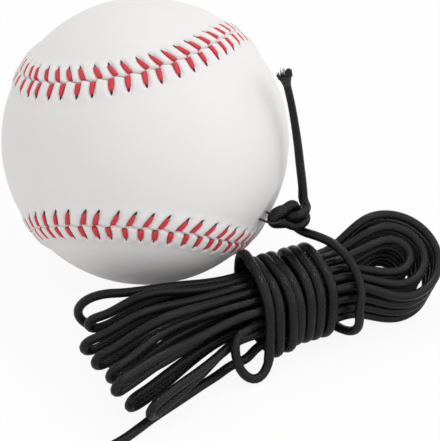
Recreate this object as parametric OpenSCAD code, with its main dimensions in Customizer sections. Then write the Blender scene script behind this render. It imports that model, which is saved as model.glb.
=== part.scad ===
// Baseball batting trainer: a stitched leather ball on a black elastic cord, the cord wound in a hank.
// Millimetres, Z up. The ball stands on the origin and the cord lies on the same surface beside it.

/* [Ball] */
// Outside diameter of the ball, nine inches round
ball_d = 73; // [60:0.5:100]
// Thickness of the leather cover
leather_t = 1.4; // [1:0.1:2]
// Thickness of the finish winding of yarn
yarn_t = 3; // [2.5:0.1:4]
// Thickness of the second wool winding
outer_wool_t = 6; // [3:0.5:8]
// Thickness of the first wool winding
inner_wool_t = 8.5; // [4:0.5:10]
// Thickness of the rubber shells round the cork
rubber_t = 7; // [4:0.5:9]
// Clearance between one layer and the next
layer_gap = 0.05; // [0.02:0.01:0.2]
// Roll of the ball about X
ball_roll = 134; // [-180:1:180]
// Pitch of the ball about Y
ball_pitch = 55; // [-90:1:90]
// Heading of the ball about Z
ball_heading = -174; // [-180:1:180]

/* [Seam] */
// How far the seam swings from side to side
seam_lobe = 0.47; // [0.2:0.01:0.7]
// How far the seam climbs over the ball
seam_rise = 1; // [0.5:0.05:1.5]
// Open width of the seam between the two panels
seam_gap = 0.3; // [0.1:0.05:0.6]
// Stitches in each of the two rows
stitch_count = 100; // [60:2:140]
// Distance from the seam to a needle hole
stitch_reach = 4; // [2:0.1:6]
// Distance from the seam to the inner end of a stitch
stitch_inner = 0.8; // [0.6:0.05:1.5]
// Lean of a stitch along the seam, in degrees
stitch_lean = 22; // [0:1:40]
// Diameter of the stitching thread
thread_d = 1; // [0.6:0.05:1.4]

/* [Anchor] */
// Heading of the anchor round the ball, in degrees from X
anchor_heading = -32.8; // [-180:0.1:180]
// Drop of the anchor below the ball's middle, in degrees
anchor_drop = 14; // [-45:0.5:45]
// Distance of the anchor's eye from the leather
anchor_out = 2.9; // [2:0.1:6]
// Diameter of the anchor thread
anchor_d = 0.6; // [0.4:0.05:1]
// Radius of the anchor's eye
anchor_r = 1.7; // [1.5:0.05:2.5]
// Diameter of the toggle under the cover
toggle_d = 1.6; // [1.2:0.1:2]
// Length of the toggle
toggle_len = 7; // [5:0.5:8]
// Clearance round the thread and the toggle
anchor_clear = 0.2; // [0.1:0.05:0.4]

/* [Cord] */
// Diameter of the elastic cord
cord_d = 2.3; // [1.5:0.1:4]
// Clearance between the lowest turns and the surface they lie on
floor_clear = 0.1; // [0:0.05:0.5]
// Length of the heat-sealed end
sealed_len = 12; // [8:1:20]
// Diameter across the flared tip of the tail
tip_d = 3.8; // [2.5:0.1:5]
// Length of the flared tip
tip_len = 4; // [2:0.5:8]

/* [Hank] */
// Heading of the hank's waist round the ball, in degrees from X
waist_heading = -41.1; // [-180:0.1:180]
// Distance of the waist's middle from the ball
waist_out = 10.85; // [10:0.05:40]
// Turn of the hank's length from X, in degrees
hank_turn = 24; // [-90:1:90]
// Half the length of the bound waist
waist_half = 12.5; // [8:0.5:20]
// Pitch of the strands in the waist
strand_pitch = 2.95; // [2.7:0.05:4]
// Widening of the middle rows of the waist
belly = 0.11; // [0:0.01:0.3]
// Swelling of the middle columns of the waist
crown = 0.3; // [0:0.01:0.4]
// Straight run from the waist to the right turns
right_run = 15.5; // [10:0.5:25]
// Radius of the innermost right turn
right_inner = 4.6; // [3:0.1:8]
// Growth of radius from one right turn to the next
right_step = 3.7; // [2.7:0.1:5]
// Height between the rows of right turns
right_row = 3.8; // [2.7:0.1:5]
// Tilt of the right turns toward the front, in degrees
right_tilt = 25; // [0:1:40]
// Sideways set between the two strands of a left turn
left_split = 1; // [0:0.1:3]
// Height across a left turn
tier_rise = 4.2; // [3:0.1:8]
// Height between the two tiers of left turns
tier_gap = 5.6; // [2.7:0.1:7]
// Hump of the upper strands before the waist
hump = 4.4; // [0:0.1:6]

/* [Waist wraps] */
// Turns of cord round the waist
wrap_turns = 7; // [4:1:10]
// Pitch of the turns
wrap_pitch = 2.8; // [2.7:0.05:4]
// Half width of a turn
wrap_half_w = 10.8; // [10:0.1:18]
// Half height of a turn
wrap_half_h = 9.4; // [8:0.1:12]
// Squareness of a turn, 2 for an oval
wrap_power = 3; // [2:0.1:4]

/* [Tie] */
// Turn of the tie from X, in degrees
tie_turn = 33; // [-90:1:90]
// Radius of the loop that holds the anchor's eye
loop_r = 1.7; // [1.6:0.1:4]
// Radius of the knot's turns round the cord
knot_r = 2.6; // [2.5:0.05:3.5]
// Distance from the anchor's eye to the cord in the knot
knot_out = 6.9; // [6:0.1:9]

/* [Hidden] */
$fn = 96;

ball_r = ball_d / 2;
yarn_d = ball_d - 2 * leather_t;
outer_wool_d = yarn_d - 2 * yarn_t;
inner_wool_d = outer_wool_d - 2 * outer_wool_t;
rubber_d = inner_wool_d - 2 * inner_wool_t;
cork_d = rubber_d - 2 * rubber_t;
seam_steps = 54;
seam_reach = 1.6;
stitch_float = 0.06;
stitch_lift = thread_d / 2 + stitch_float;

// Where things stand: the anchor's eye, and the middle of the hank's waist on the floor
anchor_x = (ball_r + anchor_out) * cos(anchor_drop);
anchor_z = ball_r - (ball_r + anchor_out) * sin(anchor_drop);
tie_at = [anchor_x * cos(anchor_heading), anchor_x * sin(anchor_heading), anchor_z];
waist_at = (ball_r + waist_out) * [cos(waist_heading), sin(waist_heading), 0];
toggle_r = ball_r - leather_t - yarn_t / 2;
toggle_x = sqrt(toggle_r ^ 2 - (ball_r - anchor_z) ^ 2);

// Counts and set-outs of the hank: strands lie in rows and columns through the waist
cols = 6;
rows = 4;
loops = cols * rows / 2;
mid_col = (cols - 1) / 2;
mid_row = (rows - 1) / 2;
lay = cord_d / 2 + floor_clear;
waist_h = lay + wrap_half_h;
stub = cord_d;
stub_turn = 22;
stub_way = -stub * [cos(stub_turn), sin(stub_turn), 0];
hump_front = 0.25;
hump_skew = 0.6;
left_steps = [0, 1 / 5, 2 / 5, 3 / 5, 4 / 5, 9 / 10];
right_steps = [1 / 4, 1 / 2, 3 / 4, 1];
right_turn_steps = 6;
left_turn_steps = 6;
laid_sides = 8;
wound_sides = 6;
hank_skip = 3;
wraps_skip = 6;

// Left turns in the hank's own axes: the middle of each from front to rear, in the lower and the upper
// tier, the point they fan out from, and how far the front one is lifted over the loose end
left_tips = [
    [[-43.7, -20.3], [-46, -13], [-45, -3.5], [-45.5, 4], [-44, 9]],
    [[-50.8, -16.9], [-50.2, -12.3], [-51.5, -6.5], [-52, -0.5], [-48, 6.8]]
];
fan_at = [-5, 0, 0];
front_lift = [2.8, 3];

// The big loop at the rear that joins the two tiers: its ends over the floor, and its length to width
joint_low = [-41.5, 13.8, 2.2];
joint_high = [-40.5, 11, 15.7];
joint_stretch = 1.35;

// Slack of the wraps: the turn where it peaks, half its width in turns, then along, out and up
wrap_from = 0.02;
wrap_to = 7.08;
wrap_rings = 24;
wrap_slack = [
    [0.33, 0.13, 0.4, -1.6, 1.8],
    [0.88, 0.1, 0, 2.2, 0],
    [1.88, 0.1, 0, 1.6, 0],
    [6.98, 0.16, 3.6, 0.8, 0]
];

// Route of the slack loop in front of the waist, from the last strand to the first wrap
start_route = [
    [-18.2, -10.2, 11.9], [-20.3, -12.4, 10.6], [-20.6, -13.6, 7.4], [-19.8, -14.2, 3.9], [-17.8, -15.2, 1.6],
    [-15, -15.4, 1.4], [-12.4, -14.4, 2.4], [-10.9, -13.2, 4.8]
];

// Routes of the free stretches: the lead in the hank's own axes, the loose end from the waist's
// middle along X and Y, and the tail in the tie's own axes
lead_route = [[14.4, -7.2, 17.5], [13.7, -2.6, 20.4], [12.2, 2, 21.6], [10.3, 6.2, 21.8], [8.6, 9.6, 21.6]];
free_route = [
    [-13.6, -16.2, 2.8], [-16.9, -19.9, 1.5], [-20.1, -23.9, lay], [-24.8, -29, lay], [-29.4, -33, lay],
    [-32.9, -35.9, lay], [-35.6, -38.3, lay], [-40.2, -42.5, lay], [-46.5, -46.8, lay], [-53.5, -50.2, lay],
    [-60.5, -51.6, lay], [-65, -51.6, lay], [-69.5, -51.6, lay]
];
tail_route = [
    [9.5, 0.7, 2.6], [9.6, 0.7, 4.2], [9.4, 0.6, 7], [9.4, 2.1, 12], [9.5, 3.6, 17], [9.5, 5.2, 22.5],
    [9.4, 6.8, 27.5], [9.1, 8.1, 31.5]
];
route_steps = 3;
knot_start = -132;
knot_end = 360;
knot_step = 20.5;
knot_low = -2.6;
knot_rise = 2.4 / 270;
stub_low = -3.4;
stub_gap = 0.3;
stub_len = 1.3;

// Routes of the tie in its own axes: up through the knot, over to the eye's loop, and back to the knot
standing_route = [[0, 0, stub_low], [0, 0, -2.4], [0, 0, -0.9], [-0.25, 0, 1.2], [-1.1, 0, 2.4]];
loop_route = [[4.2, 0, 2.6], [2.9, 0, 2.05]];
knot_route = [[2.7, -0.5, -2.3], [3.9, -1.1, -2.85]];

// Plain vector work
function unit(v) = v / norm(v);
function turned(p, deg) = [p.x * cos(deg) - p.y * sin(deg), p.x * sin(deg) + p.y * cos(deg), p.z];
function backward(list) = [for (i = [len(list) - 1 : -1 : 0]) list[i]];
function slice(list, first, last) = [for (i = [first : last]) list[i]];
function in_hank(p) = waist_at + turned(p, hank_turn);
function in_tie(p) = tie_at + turned(p, tie_turn);

// A curve from a to b that leaves along da and arrives along db
function eased(a, da, b, db, k) =
    (2 * k ^ 3 - 3 * k ^ 2 + 1) * a + (k ^ 3 - 2 * k ^ 2 + k) * da + (3 * k ^ 2 - 2 * k ^ 3) * b
    + (k ^ 3 - k ^ 2) * db;

// A smooth line through the points of a route
function route_point(a, b, c, d, k) = eased(b, (c - a) / 2, c, (d - b) / 2, k);
function smooth(route) =
    let (n = len(route), r = concat([2 * route[0] - route[1]], route, [2 * route[n - 1] - route[n - 2]]))
    concat(
        [for (i = [1 : n - 1], s = [0 : route_steps - 1])
            route_point(r[i - 1], r[i], r[i + 1], r[i + 2], s / route_steps)],
        [route[n - 1]]
    );

// Directions along a path, and a normal carried along it without twist
function ways(path) =
    let (n = len(path))
    [for (i = [0 : n - 1])
        unit((i < n - 1 ? unit(path[i + 1] - path[i]) : [0, 0, 0])
            + (i > 0 ? unit(path[i] - path[i - 1]) : [0, 0, 0]))];
function squared(v, way) = unit(v - (v * way) * way);
function first_side(way) = squared(abs(way.z) < 0.8 ? [0, 0, 1] : [1, 0, 0], way);
function carried(way) =
    [for (
        i = 0, v = first_side(way[0]);
        i < len(way);
        i = i + 1, v = i < len(way) ? squared(v, way[i]) : v
    ) v];

// Part of a path as a closed tube of triangles
module tube(path, first, last, sides) {
    way = ways(path);
    side = carried(way);
    rings = last - first;
    points = [
        for (i = [first : last], s = [0 : sides - 1])
            path[i] + cord_d / 2
                * (cos(360 * s / sides) * side[i] + sin(360 * s / sides) * cross(way[i], side[i]))
    ];
    walls = [
        for (i = [0 : rings - 1], s = [0 : sides - 1])
            let (a = i * sides + s, b = i * sides + (s + 1) % sides)
            each [[a, a + sides, b], [b, a + sides, b + sides]]
    ];
    near_cap = [for (s = [1 : sides - 2]) [0, s, s + 1]];
    far_cap = [for (s = [1 : sides - 2]) [rings * sides, rings * sides + s + 1, rings * sides + s]];
    polyhedron(points = points, faces = concat(walls, near_cap, far_cap), convexity = 10);
}

// A straight round rod between two points
module rod(a, b, d) {
    v = b - a;
    translate(a)
        rotate([0, acos(v.z / norm(v)), atan2(v.y, v.x)])
            cylinder(d = d, h = norm(v));
}

// Least clear gap of a path's tube to itself, leaving out the stretch next to each point
function to_stretch(p, a, b) =
    let (d = b - a, k = max(0, min(1, (p - a) * d / (d * d))))
    norm(p - a - k * d);
function self_gap(path, skip) =
    min([for (i = [0 : len(path) - 1], j = [0 : len(path) - 2]) if (j > i + skip || j < i - skip - 1)
        to_stretch(path[i], path[j], path[j + 1])]) - cord_d;

// The seam: one closed line over the ball that two equal panels share
function seam_at(t) =
    unit([cos(t) + seam_lobe * cos(3 * t), sin(t) - seam_lobe * sin(3 * t), seam_rise * sin(2 * t)]);
function seam_way(t) = unit(seam_at(t + 0.1) - seam_at(t - 0.1));
function seam_off(t, out, along) =
    unit(ball_r * seam_at(t) + out * cross(seam_way(t), seam_at(t)) + along * seam_way(t));

// Evenly spaced places along the seam: the run so far against the angle
seam_runs = [for (
    t = 0, run = 0;
    t <= 360;
    run = run + norm(seam_at(t + 1) - seam_at(t)), t = t + 1
) [run, t]];
seam_length = seam_runs[360][0];
function seam_angle(share) = lookup(share * seam_length, seam_runs);

// Cords as paths. Strands of the hank, by row and column of the waist
function waist_point(row, col, end) = [
    end * waist_half,
    (col - mid_col) * strand_pitch * (1 + belly * (1 - ((row - mid_row) / mid_row) ^ 2)),
    waist_h + (row - mid_row) * strand_pitch * (1 + crown * (1 - ((col - mid_col) / mid_col) ^ 2))
];

// Right end: nested half turns in rows, all tilted toward the front
right_across = [0, cos(right_tilt), sin(right_tilt)];
right_up = [0, -sin(right_tilt), cos(right_tilt)];
function right_radius(col) = right_inner + right_step * (abs(col - mid_col) - 0.5);
right_high = lay + right_radius(0) * sin(right_tilt) + mid_row * right_row * cos(right_tilt);
right_middle = [waist_half + right_run, 0, right_high];
function right_turn_point(row, col, deg) =
    right_middle + (row - mid_row) * right_row * right_up
    + right_radius(col) * (sign(col - mid_col) * cos(deg) * right_across + [sin(deg), 0, 0]);
function right_point(row, col, k) =
    let (a = waist_point(row, col, 1), b = right_turn_point(row, col, 0), way = [norm(b - a), 0, 0])
    eased(a, way, b, way, k);

// Left end: two tiers of fingers that fan out toward the front, joined by one big loop at the rear
function is_joint(row, col) = row % 2 == 1 && col == cols - 1;
function finger_tip(tier, finger, upper) = [
    left_tips[tier][finger].x,
    left_tips[tier][finger].y,
    tier * (tier_rise + tier_gap) + upper * tier_rise + (tier == 0 && finger == 0 ? front_lift[upper] : 0)
];
function left_tip(row, col) =
    is_joint(row, col) ? (row == 1 ? joint_low : joint_high)
    : finger_tip(floor(row / 2), row % 2 == 1 ? col : col - 1, row % 2);
function left_way(row, col) =
    let (v = left_tip(row, col) - fan_at)
    unit([v.x, v.y, 0]);
function left_end(row, col) =
    let (way = left_way(row, col), aside = is_joint(row, col) ? 0 : left_split * (0.5 - row % 2))
    left_tip(row, col) + [aside * way.y, -aside * way.x, lay];
function left_hump(row, col, k) =
    let (share = row / (rows - 1) * (hump_front + (1 - hump_front) * col / (cols - 1)))
    [0, 0, is_joint(row, col) ? 0 : hump * share * sin(180 * k * (1 + hump_skew * (1 - k))) ^ 2];
function left_point(row, col, k) =
    let (a = left_end(row, col), b = waist_point(row, col, -1), n = norm(b - a))
    eased(a, -n * left_way(row, col), b, [n, 0, 0], k) + left_hump(row, col, k);
function left_turn_point(from, to, deg) =
    let (
        a = left_end(from[0], from[1]),
        b = left_end(to[0], to[1]),
        half = (a - b) / 2,
        out = squared(left_way(from[0], from[1]) + left_way(to[0], to[1]), unit(half)),
        reach = norm(half) * (is_joint(from[0], from[1]) ? joint_stretch : 1)
    )
    (a + b) / 2 + cos(deg) * half + sin(deg) * reach * out;

// The order in which one cord lays the loops: the lower tier, then the upper one backward
function loop_place(i) = i < loops / 2 ? i : loops - 1 - i;
function loop_row(i) = loop_place(i) % 2 + (i < loops / 2 ? 0 : 2);
function even_col(i) = loop_place(i) % 2 == 0 ? loop_place(i) : cols - 1 - loop_place(i);
function loop_from(i) = i < loops / 2 ? even_col(i) : cols - 1 - even_col(i);
function loop_to(i) = cols - 1 - loop_from(i);
function strand(row, col, whole) = concat(
    whole ? [for (k = left_steps) left_point(row, col, k)] : [waist_point(row, col, -1) + stub_way],
    [waist_point(row, col, -1), waist_point(row, col, 1)],
    [for (k = right_steps) right_point(row, col, k)]
);
function hank_loop(i) =
    let (row = loop_row(i))
    concat(
        strand(row, loop_from(i), i > 0),
        [for (s = [1 : right_turn_steps - 1])
            right_turn_point(row, loop_from(i), 180 * s / right_turn_steps)],
        backward(strand(row, loop_to(i), i < loops - 1)),
        i == loops - 1 ? []
        : [for (s = [1 : left_turn_steps - 1])
            left_turn_point([row, loop_to(i)], [loop_row(i + 1), loop_from(i + 1)],
                180 * s / left_turn_steps)]
    );
hank_own = [for (i = [0 : loops - 1]) each hank_loop(i)];

// The wraps: a rounded-square helix with slack here and there, after the slack loop in front
function oval(deg) = [
    wrap_half_w * sign(cos(deg)) * abs(cos(deg)) ^ (2 / wrap_power),
    wrap_half_h * sign(sin(deg)) * abs(sin(deg)) ^ (2 / wrap_power)
];
function slack(q, i) = wrap_slack[i] * exp(-((q - wrap_slack[i][0]) / wrap_slack[i][1]) ^ 2);
function wrap_point(q) =
    let (o = oval(180 - 360 * q), s = [for (i = [0 : len(wrap_slack) - 1]) slack(q, i)])
    [
        (q - wrap_turns / 2) * wrap_pitch + sum([for (v = s) v[2]]),
        o[0] - sum([for (v = s) v[3]]),
        waist_h + o[1] + sum([for (v = s) v[4]])
    ];
function sum(list) = list * [for (v = list) 1];
wrap_count = round((wrap_to - wrap_from) * wrap_rings);
wrap_body = [for (i = [0 : wrap_count]) wrap_point(wrap_from + (wrap_to - wrap_from) * i / wrap_count)];
wrap_tip = wrap_body[wrap_count] + stub * unit(wrap_body[wrap_count] - wrap_body[wrap_count - 1]);
hank_end = hank_own[len(hank_own) - 1];
strand_end = hank_end + stub_way;
start_line = smooth(concat([hank_end, strand_end], start_route, [wrap_body[0], wrap_body[1]]));
wrap_start = slice(start_line, route_steps, route_steps * (len(start_route) + 2) - 1);
wraps_own = concat(wrap_start, wrap_body, [wrap_tip]);

// The whole tether from its sealed end to the stub under the knot, and where its nodes change
free_start = hank_own[0] + stub_way;
lead_end = [for (k = [1, 0.5, 0]) in_tie([knot_out, 0, stub_low - stub_gap - k * stub_len])];
free_path = smooth(concat([in_hank(hank_own[0]), in_hank(free_start)], [for (p = free_route) waist_at + p]));
lead_path = smooth(concat([in_hank(wrap_tip)], [for (p = lead_route) in_hank(p)], lead_end));
hank_path = [for (p = hank_own) in_hank(p)];
wraps_path = [for (p = wraps_own) in_hank(p)];
tether_path = concat(backward(slice(free_path, 1, len(free_path) - 1)), hank_path, wraps_path,
    slice(lead_path, 1, len(lead_path) - 1));
hank_first = len(free_path) - 1;
wraps_first = hank_first + len(hank_path) - 1;
lead_first = wraps_first + len(wraps_path);
lead_last = len(tether_path) - 1;

// The tie from the stub up, round the anchor's eye, round itself and out as the tail
loop_own = concat(
    [for (p = standing_route) [knot_out, 0, 0] + p],
    loop_route,
    [for (deg = [90 : 22.5 : 270]) [loop_r + loop_r * cos(deg), 0, loop_r * sin(deg)]]
);
knot_own = concat(
    knot_route,
    [for (deg = [knot_start : knot_step : knot_end])
        [knot_out + knot_r * cos(deg), knot_r * sin(deg), knot_low + (deg + 90) * knot_rise]]
);
tie_path = [for (p = concat(loop_own, knot_own, smooth(tail_route))) in_tie(p)];
knot_first = len(loop_own) + 1;
tail_first = len(loop_own) + len(knot_own);
tail_last = len(tie_path) - 1;
tail_way = unit(tie_path[tail_last] - tie_path[tail_last - 1]);

// Places of the ball's own axes and of the anchor's
module ball_place() {
    translate([0, 0, ball_r])
        rotate([ball_roll, ball_pitch, ball_heading])
            children();
}

module anchor_place() {
    translate([0, 0, anchor_z])
        rotate(anchor_heading)
            children();
}

module layer(outer_d, inner_d) {
    translate([0, 0, ball_r])
        difference() {
            sphere(d = outer_d);
            sphere(d = inner_d);
        }
}

// Room for the anchor's two threads and for the toggle behind them
module anchor_room() {
    anchor_place() {
        for (side = [-1, 1])
            translate([toggle_x, side * anchor_r, 0])
                rotate([0, 90, 0])
                    cylinder(d = anchor_d + 2 * anchor_clear, h = anchor_x - toggle_x);
        translate([toggle_x, 0, 0])
            rotate([90, 0, 0])
                cylinder(d = toggle_d + 2 * anchor_clear, h = toggle_len + 2 * anchor_clear, center = true);
    }
}

module cork_core() {
    color("BurlyWood")
        translate([0, 0, ball_r])
            sphere(d = cork_d);
}

// Half of the rubber round the cork
module rubber_half(up) {
    color("DarkRed")
        intersection() {
            layer(rubber_d, cork_d + 2 * layer_gap);
            translate([0, 0, ball_r + up * (ball_r + layer_gap)])
                cube(ball_d, center = true);
        }
}

module rubber_shell_lower() {
    rubber_half(-1);
}

module rubber_shell_upper() {
    rubber_half(1);
}

module wool_winding_inner() {
    color("Gray")
        layer(inner_wool_d, rubber_d + 2 * layer_gap);
}

module wool_winding_outer() {
    color("LightGray")
        layer(outer_wool_d, inner_wool_d + 2 * layer_gap);
}

module yarn_finish_winding() {
    color("Ivory")
        difference() {
            layer(yarn_d - 2 * layer_gap, outer_wool_d + 2 * layer_gap);
            anchor_room();
        }
}

// Every direction from the ball's middle that one panel covers
module panel_wedge() {
    edge = [for (i = [0 : seam_steps]) seam_off(-45 + 180 * i / seam_steps, -seam_gap / 2, 0)];
    far_edge = [for (p = edge) [-p.y, -p.x, p.z]];
    spine = [for (i = [0 : seam_steps]) unit(edge[i] + far_edge[i])];
    n = seam_steps;
    points = ball_r * seam_reach * concat([[0, 0, 0]], edge, far_edge, spine);
    a = 1;
    b = a + n + 1;
    c = b + n + 1;
    sides = [for (i = [0 : n - 1]) each [[0, a + i + 1, a + i], [0, b + i, b + i + 1]]];
    caps = [for (i = [1 : n - 2]) each [
        [a + i, a + i + 1, c + i + 1], [a + i, c + i + 1, c + i],
        [b + i + 1, b + i, c + i + 1], [c + i + 1, b + i, c + i]
    ]];
    tips = [
        [a, a + 1, c + 1], [b + 1, a, c + 1],
        [a + n - 1, a + n, c + n - 1], [a + n, b + n - 1, c + n - 1]
    ];
    welded = [for (f = concat(sides, caps, tips)) [for (v = f) v == b ? a : v == b + n ? a + n : v]];
    polyhedron(points = points, faces = welded, convexity = 4);
}

// One of the two equal leather panels, half a turn apart
module cover_panel(half_turn) {
    color("White")
        difference() {
            ball_place()
                rotate([half_turn, 0, 0])
                    intersection() {
                        difference() {
                            sphere(d = ball_d);
                            sphere(d = yarn_d);
                        }
                        panel_wedge();
                    }
            anchor_room();
        }
}

module cover_panel_a() {
    cover_panel(0);
}

module cover_panel_b() {
    cover_panel(180);
}

// One row of stitches: straight threads on the leather, leaning back from the seam
module stitch_row(side) {
    color("Crimson")
        ball_place()
            for (i = [0 : stitch_count - 1]) {
                t = seam_angle((i + 0.5) / stitch_count);
                trail = (stitch_reach - stitch_inner) * tan(stitch_lean);
                rod(
                    (ball_r + stitch_lift) * seam_off(t, side * stitch_inner, 0),
                    (ball_r + stitch_lift) * seam_off(t, side * stitch_reach, -trail),
                    thread_d
                );
            }
}

module stitch_row_a() {
    stitch_row(-1);
}

module stitch_row_b() {
    stitch_row(1);
}

// The eye outside the ball and its two threads through the cover
module anchor_loop() {
    color("Black")
        anchor_place() {
            translate([anchor_x, 0, 0])
                rotate(-90)
                    rotate_extrude(angle = 180)
                        translate([anchor_r, 0])
                            circle(d = anchor_d);
            for (side = [-1, 1])
                translate([toggle_x, side * anchor_r, 0])
                    rotate([0, 90, 0])
                        cylinder(d = anchor_d, h = anchor_x - toggle_x);
        }
}

// The bar under the cover that the two threads go into
module anchor_toggle() {
    color("DimGray")
        anchor_place()
            difference() {
                translate([toggle_x, 0, 0])
                    rotate([90, 0, 0])
                        cylinder(d = toggle_d, h = toggle_len, center = true);
                for (side = [-1, 1])
                    translate([toggle_x - layer_gap, side * anchor_r, 0])
                        rotate([0, 90, 0])
                            cylinder(d = anchor_d + 2 * layer_gap, h = toggle_d);
            }
}

module tie_loop() {
    color("Black")
        tube(tie_path, 0, knot_first, laid_sides);
}

module tether_knot() {
    color("Black")
        tube(tie_path, knot_first, tail_first, laid_sides);
}

module knot_tail() {
    color("Black")
        tube(tie_path, tail_first, tail_last, laid_sides);
}

// The cut end of the tail, opened out into a flare
module tail_tip() {
    color("DimGray")
        translate(tie_path[tail_last])
            rotate([0, acos(tail_way.z), atan2(tail_way.y, tail_way.x)])
                cylinder(d1 = cord_d, d2 = tip_d, h = tip_len);
}

module tether_lead() {
    color("Black")
        tube(tether_path, lead_first, lead_last, laid_sides);
}

module waist_wraps() {
    color("Black")
        tube(tether_path, wraps_first, lead_first, wound_sides);
}

module hank_loops() {
    color("Black")
        tube(tether_path, hank_first - 1, wraps_first, wound_sides);
}

module free_end() {
    color("Black")
        tube(tether_path, 0, hank_first - 1, laid_sides);
}

// The heat-sealed far end, straight along -X
module cord_end() {
    color("DimGray")
        translate(tether_path[0])
            rotate([0, -90, 0])
                cylinder(d = cord_d, h = sealed_len);
}

union() {  // hank_loops
    echo(hank_gap = self_gap(hank_path, hank_skip));
}
union() {  // waist_wraps
    echo(wraps_gap = self_gap(wraps_path, wraps_skip));
}

cork_core();
rubber_shell_lower();
rubber_shell_upper();
wool_winding_inner();
wool_winding_outer();
yarn_finish_winding();
cover_panel_a();
cover_panel_b();
stitch_row_a();
stitch_row_b();
anchor_loop();
anchor_toggle();
tie_loop();
tether_knot();
knot_tail();
tail_tip();
tether_lead();
waist_wraps();
hank_loops();
free_end();
cord_end();
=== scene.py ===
import math
import random

import bpy
import mathutils
import numpy as np
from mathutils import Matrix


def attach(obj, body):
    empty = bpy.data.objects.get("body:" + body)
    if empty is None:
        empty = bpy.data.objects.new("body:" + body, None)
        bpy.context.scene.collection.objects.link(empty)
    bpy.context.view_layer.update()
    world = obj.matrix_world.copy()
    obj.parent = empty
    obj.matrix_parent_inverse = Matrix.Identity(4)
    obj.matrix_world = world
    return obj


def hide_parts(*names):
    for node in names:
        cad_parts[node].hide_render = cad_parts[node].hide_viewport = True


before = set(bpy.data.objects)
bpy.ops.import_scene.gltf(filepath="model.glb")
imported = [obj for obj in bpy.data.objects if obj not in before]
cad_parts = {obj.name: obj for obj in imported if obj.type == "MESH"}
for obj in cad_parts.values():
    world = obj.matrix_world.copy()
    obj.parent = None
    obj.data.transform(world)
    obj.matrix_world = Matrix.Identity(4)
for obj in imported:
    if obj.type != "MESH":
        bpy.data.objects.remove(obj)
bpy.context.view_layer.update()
print("frame loaded:", len(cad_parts), "nodes")

mm = 0.001
scene = bpy.context.scene


# Camera, at the photograph's viewing angle

viewpoint = {
    "place": (0.01897, -0.3759, 0.2847),
    "tilt": 54,  # degrees up from straight down
    "lens": 144.2,
    "sensor": 36,
    "clipStart": 0.01,
}


def addCamera():
    tilt = math.radians(viewpoint["tilt"])
    bpy.ops.object.camera_add(location=viewpoint["place"], rotation=(tilt, 0, 0))
    camera = bpy.context.object
    camera.name = "camera"
    camera.data.lens = viewpoint["lens"]
    camera.data.sensor_width = viewpoint["sensor"]
    camera.data.clip_start = viewpoint["clipStart"]
    scene.camera = camera


addCamera()
print("camera placed")


# Small helpers for vectors, meshes and materials

def unit(v):
    v = np.asarray(v, float)
    return v / np.linalg.norm(v, axis=-1, keepdims=True)


def turned(p, deg):
    c, s = math.cos(math.radians(deg)), math.sin(math.radians(deg))
    return np.array([p[0] * c - p[1] * s, p[0] * s + p[1] * c, p[2]])


def smoothStep(low, high, x):
    k = np.clip((x - low) / (high - low), 0, 1)
    return k * k * (3 - 2 * k)


def runAlong(line):
    return np.r_[0, np.cumsum(np.linalg.norm(np.diff(line, axis=0), axis=1))]


def eitherWay(rng, most):
    return rng.uniform(-most, most)


def deselectAll():
    if bpy.context.object and bpy.context.object.mode != "OBJECT":
        bpy.ops.object.mode_set(mode="OBJECT")
    bpy.ops.object.select_all(action="DESELECT")


def deselectPoints(piece):
    for parts in (piece.data.vertices, piece.data.edges, piece.data.polygons):
        parts.foreach_set("select", np.zeros(len(parts), bool))


def makeActive(piece):
    deselectAll()
    piece.select_set(True)
    bpy.context.view_layer.objects.active = piece


def newPiece(name, points, faces, uvs):
    mesh = bpy.data.meshes.new(name)
    mesh.from_pydata([tuple(p) for p in points], [], [tuple(f) for f in faces])
    layer = mesh.uv_layers.new(name="UVMap")
    corner = np.zeros(len(mesh.loops), np.int32)
    mesh.loops.foreach_get("vertex_index", corner)
    layer.data.foreach_set("uv", np.asarray(uvs, np.float32)[corner].ravel())
    piece = bpy.data.objects.new(name, mesh)
    scene.collection.objects.link(piece)
    mesh.shade_smooth()
    return piece


def ringFaces(rings, sides):  # a closed skin over rings of points, with both ends capped
    faces = []
    for first in range(0, (rings - 1) * sides, sides):
        for s in range(sides):
            a, b = first + s, first + (s + 1) % sides
            faces.append((a, b, b + sides, a + sides))
    return faces + [list(range(sides))[::-1], [(rings - 1) * sides + s for s in range(sides)]]


def faceOutward(piece):
    makeActive(piece)
    bpy.ops.object.mode_set(mode="EDIT")
    bpy.ops.mesh.select_all(action="SELECT")
    bpy.ops.mesh.normals_make_consistent(inside=False)
    bpy.ops.object.mode_set(mode="OBJECT")


def tidyMesh(piece, merge=1e-6):  # metres
    makeActive(piece)
    bpy.ops.object.mode_set(mode="EDIT")
    bpy.ops.mesh.select_all(action="SELECT")
    bpy.ops.mesh.remove_doubles(threshold=merge)
    bpy.ops.mesh.dissolve_degenerate(threshold=merge)
    faceOutward(piece)


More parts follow.
